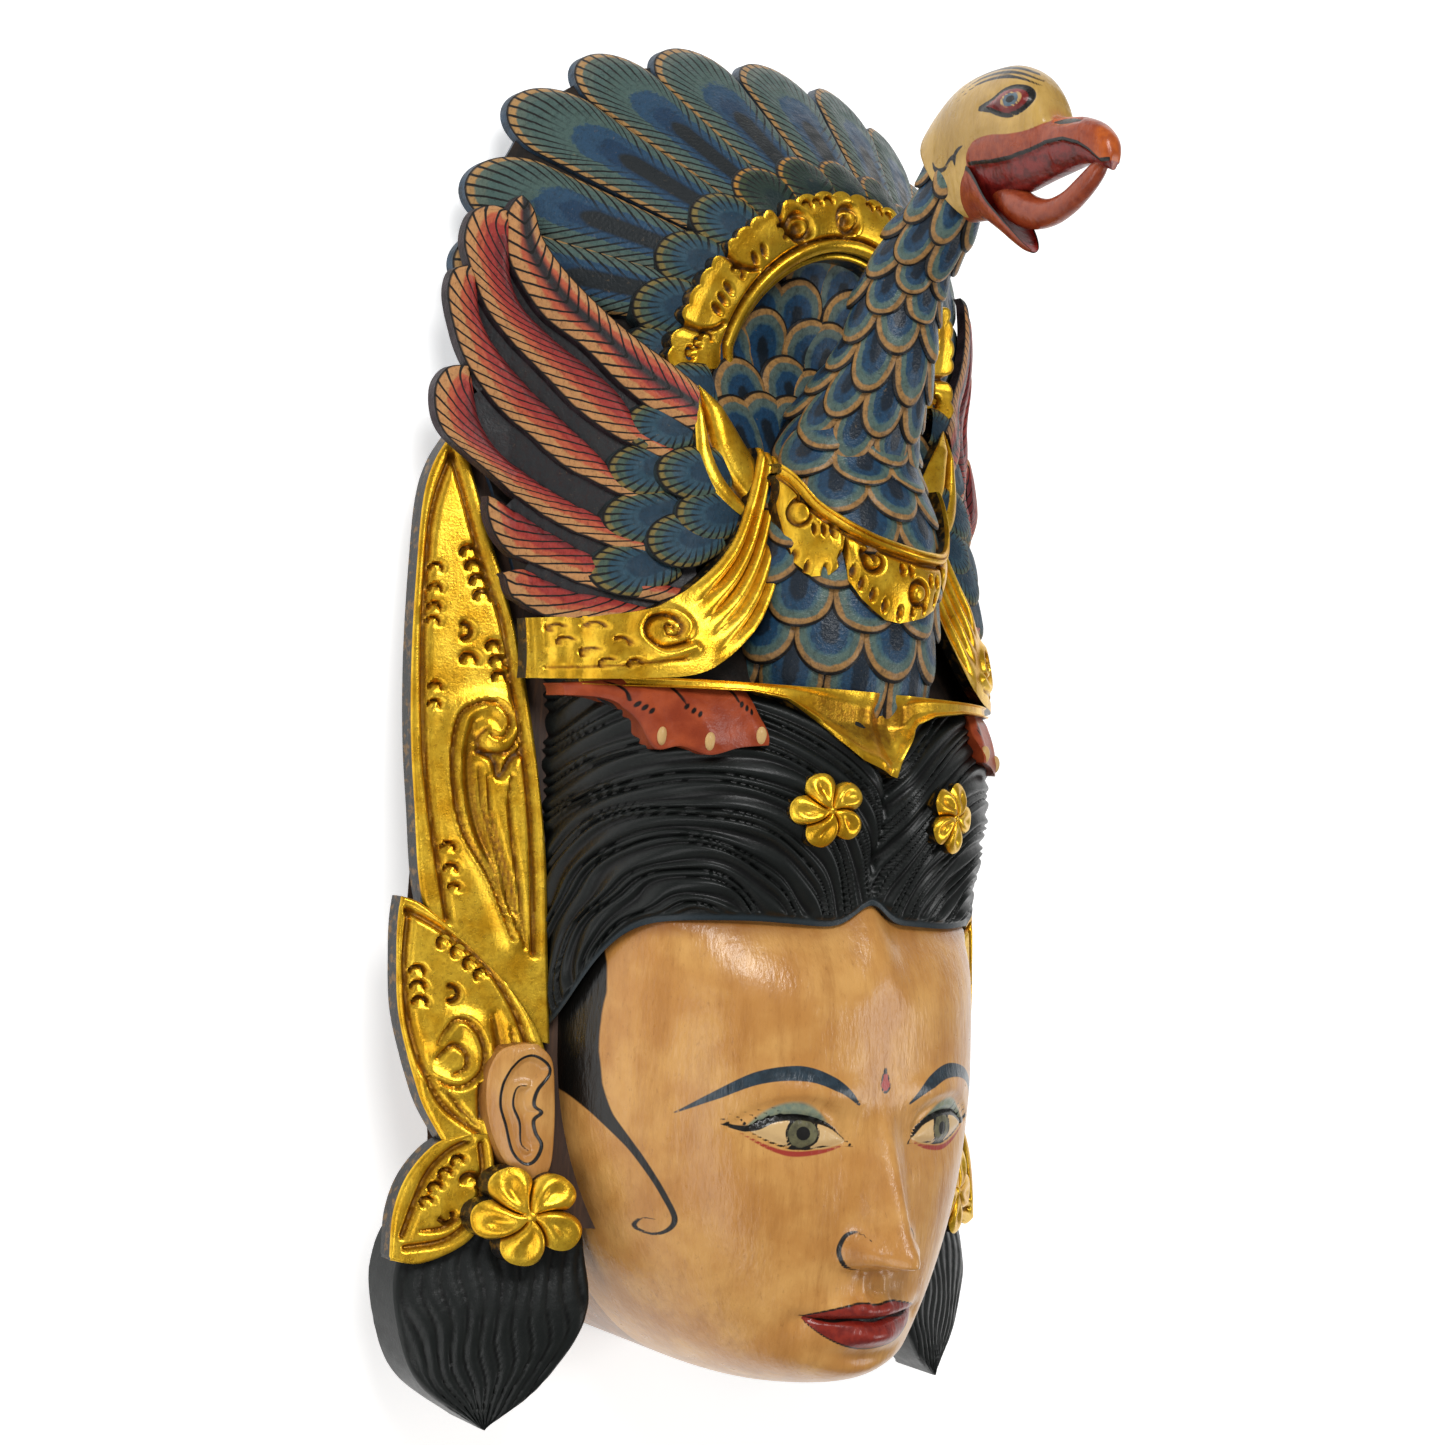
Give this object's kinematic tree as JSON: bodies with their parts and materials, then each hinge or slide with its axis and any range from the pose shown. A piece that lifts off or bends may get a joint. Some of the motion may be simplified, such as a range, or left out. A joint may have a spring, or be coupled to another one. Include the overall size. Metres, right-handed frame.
{
  "type": "carved mask",
  "caption": "Carved and painted wooden mask of a crowned goddess, with a swan rising from the feather crown and gold leaves beside the face.",
  "frame": {"origin": "middle of the bounding box, on the flat back that the mask lies on", "axes": "+X to the viewer's right when the mask is seen from the front, +Y up to the crown, +Z out of the face"},
  "size_m": [0.2684, 0.503, 0.2291],
  "materials": {
    "bare_wood": "dark stained wood, hand tooled, matt",
    "skin_paint": "ochre skin paint under glossy varnish, brown in the recesses",
    "gold_leaf": "bright gold leaf, worn to brown in the recesses",
    "black_hair": "black green lacquer over fine grooves, satin",
    "blue_feather": "blue and grey green paint with ochre rims, satin varnish",
    "red_feather": "red paint fading to tan edges, satin varnish",
    "olive_feather": "olive green paint with tan rims, satin varnish",
    "swan_blue": "blue scale paint with tan rims, satin varnish",
    "beak_red": "terracotta paint under glossy varnish"
  },
  "bodies": {
    "root": {"carved_mask": "bare_wood"}
  },
  "joints": []
}
